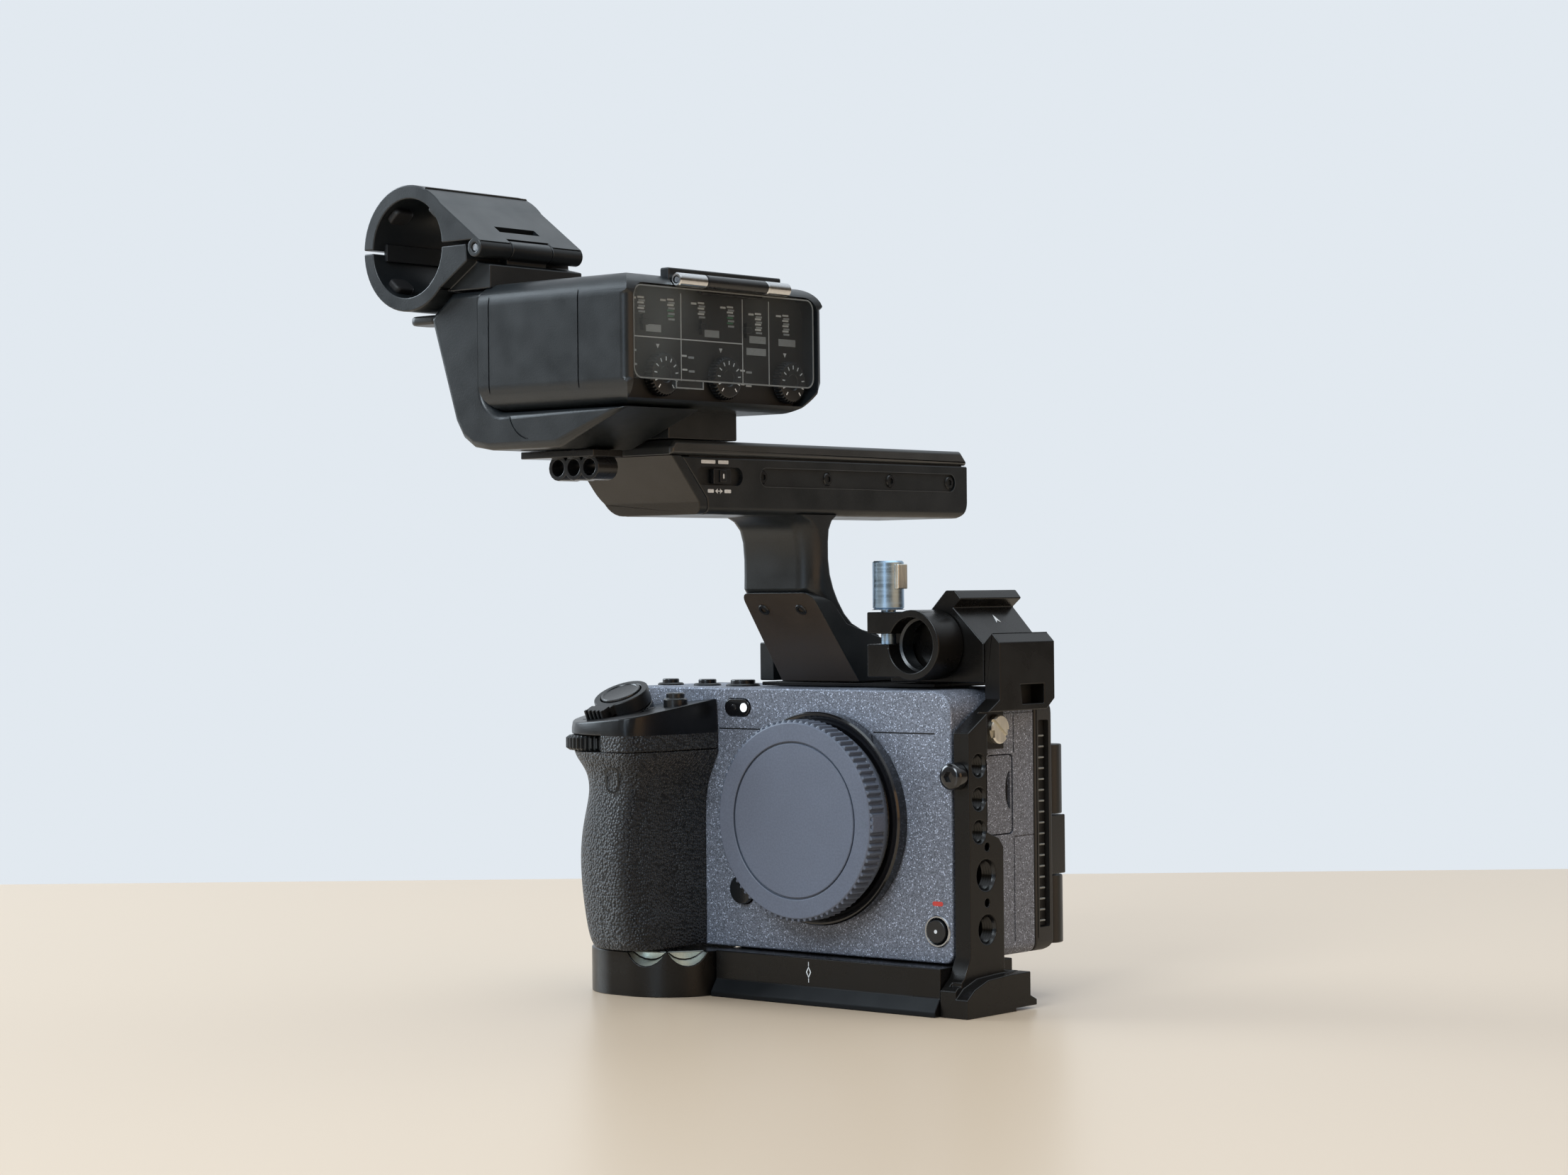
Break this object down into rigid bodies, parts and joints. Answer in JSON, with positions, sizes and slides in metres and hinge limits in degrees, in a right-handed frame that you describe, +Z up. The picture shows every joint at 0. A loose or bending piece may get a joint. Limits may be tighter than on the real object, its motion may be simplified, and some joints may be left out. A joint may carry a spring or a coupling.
{
  "type": "cinema camera rig",
  "caption": "Compact cinema camera with a hand grip and a folding screen in a metal half cage, with a top handle that carries an audio control box and a microphone clamp.",
  "frame": {"origin": "on the underside of the cage's base plate, straight below the lens axis, in the plane of the camera body's front face", "axes": "+Z up, the camera looks along -Y, +X towards the camera's port side (its left, the side with the side bracket)"},
  "size_m": [0.1434, 0.172, 0.2366],
  "materials": {
    "body_paint": "satin metallic paint, dark blue-grey with a fine sparkle",
    "cap_plastic": "matte slate grey",
    "black_plastic": "matte black",
    "gloss_black": "glossy black",
    "grip_rubber": "black rubber with a pebbled grain",
    "cage_metal": "black satin anodised",
    "handle_metal": "black fine-textured paint",
    "steel": "brushed",
    "chrome": "polished",
    "clear_cover": "clear",
    "circuit_green": "green circuit board"
  },
  "bodies": {
    "rig": {"front_shell": "body_paint", "rear_shell": "body_paint", "vent_grille": "black_plastic", "battery": "black_plastic", "memory_card": "black_plastic", "monitor_hinge": "black_plastic", "control_panel": "black_plastic", "input_socket_1": "black_plastic", "input_socket_2": "black_plastic", "cable_clip": "black_plastic", "tally_window": "gloss_black", "mount_bezel": "gloss_black", "image_sensor": "gloss_black", "grip_top_cover": "gloss_black", "front_screw": "gloss_black", "grip": "grip_rubber", "base_plate": "cage_metal", "grip_base": "cage_metal", "side_bracket": "cage_metal", "top_arm": "cage_metal", "rod_clamp": "cage_metal", "foot_plate": "cage_metal", "handle_frame": "handle_metal", "handle_top_cover": "handle_metal", "handle_front_cover": "handle_metal", "audio_box": "handle_metal", "input_block": "handle_metal", "mic_clamp_base": "handle_metal", "lens_flange": "steel", "sensor_carrier": "steel", "side_screw": "steel", "mic_clamp_pin": "steel", "hinge_barrel_1": "chrome", "hinge_barrel_2": "chrome", "main_board": "circuit_green"},
    "body_cap": {"body_cap": "cap_plastic"},
    "lens_release_button": {"lens_release_button": "black_plastic"},
    "rec_button": {"rec_button": "black_plastic"},
    "front_dial": {"front_dial": "black_plastic"},
    "zoom_lever": {"zoom_lever": "black_plastic"},
    "shutter_button": {"shutter_button": "gloss_black"},
    "grip_button": {"grip_button": "gloss_black"},
    "top_button_1": {"top_button_1": "black_plastic"},
    "top_button_2": {"top_button_2": "black_plastic"},
    "top_button_3": {"top_button_3": "black_plastic"},
    "port_door": {"port_door": "body_paint"},
    "media_door": {"media_door": "body_paint"},
    "rear_dial": {"rear_dial": "black_plastic"},
    "monitor": {"monitor": "black_plastic"},
    "clamp_screw": {"clamp_screw": "steel"},
    "clamp_lever": {"clamp_lever": "steel"},
    "audio_switch": {"audio_switch": "black_plastic"},
    "audio_cover": {"audio_cover": "clear_cover"},
    "audio_dial_1": {"audio_dial_1": "black_plastic"},
    "audio_dial_2": {"audio_dial_2": "black_plastic"},
    "audio_dial_3": {"audio_dial_3": "black_plastic"},
    "audio_toggle_1": {"audio_toggle_1": "chrome"},
    "audio_toggle_2": {"audio_toggle_2": "chrome"},
    "audio_toggle_3": {"audio_toggle_3": "chrome"},
    "mic_clamp_top": {"mic_clamp_top": "handle_metal"}
  },
  "joints": [
    {"name": "body_cap_twist", "type": "hinge", "parent": "rig", "child": "body_cap", "pos_m": [0, -0.009, 0.054], "axis": [0, -1, 0], "range_deg": [0, 60]},
    {"name": "lens_release_press", "type": "slide", "parent": "rig", "child": "lens_release_button", "axis": [0, 1, 0], "range_m": [0, 0.0015], "stiffness_N_per_m": 200},
    {"name": "rec_press", "type": "slide", "parent": "rig", "child": "rec_button", "axis": [0, 1, 0], "range_m": [0, 0.0006], "stiffness_N_per_m": 200},
    {"name": "front_dial_turn", "type": "hinge", "parent": "rig", "child": "front_dial", "pos_m": [-0.0668, -0.0224, 0.0758], "axis": [0, 0, 1], "continuous": true},
    {"name": "zoom_rock", "type": "hinge", "parent": "rig", "child": "zoom_lever", "pos_m": [-0.065, -0.0149, 0.0858], "axis": [0, -0.4223, 0.9064], "range_deg": [-20, 20], "stiffness_Nm_per_rad": 0.05},
    {"name": "shutter_press", "type": "slide", "parent": "rig", "child": "shutter_button", "axis": [0, 0.4223, -0.9064], "range_m": [0, 0.0009], "stiffness_N_per_m": 200},
    {"name": "grip_button_press", "type": "slide", "parent": "rig", "child": "grip_button", "axis": [0, 0, -1], "range_m": [0, 0.0008], "stiffness_N_per_m": 200},
    {"name": "top_button_1_press", "type": "slide", "parent": "rig", "child": "top_button_1", "axis": [0, 0, -1], "range_m": [0, 0.0008], "stiffness_N_per_m": 200},
    {"name": "top_button_2_press", "type": "slide", "parent": "rig", "child": "top_button_2", "axis": [0, 0, -1], "range_m": [0, 0.0008], "stiffness_N_per_m": 200},
    {"name": "top_button_3_press", "type": "slide", "parent": "rig", "child": "top_button_3", "axis": [0, 0, -1], "range_m": [0, 0.0008], "stiffness_N_per_m": 200},
    {"name": "port_door_swing", "type": "hinge", "parent": "rig", "child": "port_door", "pos_m": [0.0468, 0.0176, 0.061], "axis": [0, 0, -1], "range_deg": [0, 90]},
    {"name": "media_door_swing", "type": "hinge", "parent": "rig", "child": "media_door", "pos_m": [-0.082, 0.0364, 0.052], "axis": [0, 0, -1], "range_deg": [0, 90]},
    {"name": "rear_dial_turn", "type": "hinge", "parent": "rig", "child": "rear_dial", "pos_m": [-0.058, 0.0505, 0.034], "axis": [0, 1, 0], "continuous": true},
    {"name": "monitor_swing", "type": "hinge", "parent": "rig", "child": "monitor", "pos_m": [0.043, 0.0535, 0.045], "axis": [0, 0, -1], "range_deg": [0, 176]},
    {"name": "clamp_screw_turn", "type": "hinge", "parent": "rig", "child": "clamp_screw", "pos_m": [0.0192, 0.008, 0.121], "axis": [0, 0, 1], "continuous": true},
    {"name": "clamp_lever_fold", "type": "hinge", "parent": "clamp_screw", "child": "clamp_lever", "pos_m": [0.0232, 0.008, 0.1279], "axis": [0, -1, 0], "range_deg": [0, 90]},
    {"name": "audio_switch_slide", "type": "slide", "parent": "rig", "child": "audio_switch", "axis": [0, 1, 0], "range_m": [-0.003, 0.003]},
    {"name": "audio_cover_swing", "type": "hinge", "parent": "rig", "child": "audio_cover", "pos_m": [0.016, -0.057, 0.2057], "axis": [0, -1, 0], "range_deg": [0, 105]},
    {"name": "audio_dial_1_turn", "type": "hinge", "parent": "rig", "child": "audio_dial_1", "pos_m": [0.012, -0.0816, 0.18], "axis": [1, 0, 0], "range_deg": [-140, 140]},
    {"name": "audio_dial_2_turn", "type": "hinge", "parent": "rig", "child": "audio_dial_2", "pos_m": [0.012, -0.0556, 0.18], "axis": [1, 0, 0], "range_deg": [-140, 140]},
    {"name": "audio_dial_3_turn", "type": "hinge", "parent": "rig", "child": "audio_dial_3", "pos_m": [0.012, -0.0279, 0.18], "axis": [1, 0, 0], "range_deg": [-140, 140]},
    {"name": "audio_toggle_1_slide", "type": "slide", "parent": "rig", "child": "audio_toggle_1", "axis": [0, 0, 1], "range_m": [-0.0015, 0.0015]},
    {"name": "audio_toggle_2_slide", "type": "slide", "parent": "rig", "child": "audio_toggle_2", "axis": [0, 0, 1], "range_m": [-0.0015, 0.0015]},
    {"name": "audio_toggle_3_slide", "type": "slide", "parent": "rig", "child": "audio_toggle_3", "axis": [0, 0, 1], "range_m": [-0.0015, 0.0015]},
    {"name": "mic_clamp_swing", "type": "hinge", "parent": "rig", "child": "mic_clamp_top", "pos_m": [-0.0395, -0.0815, 0.217], "axis": [0, 1, 0], "range_deg": [0, 100]}
  ]
}
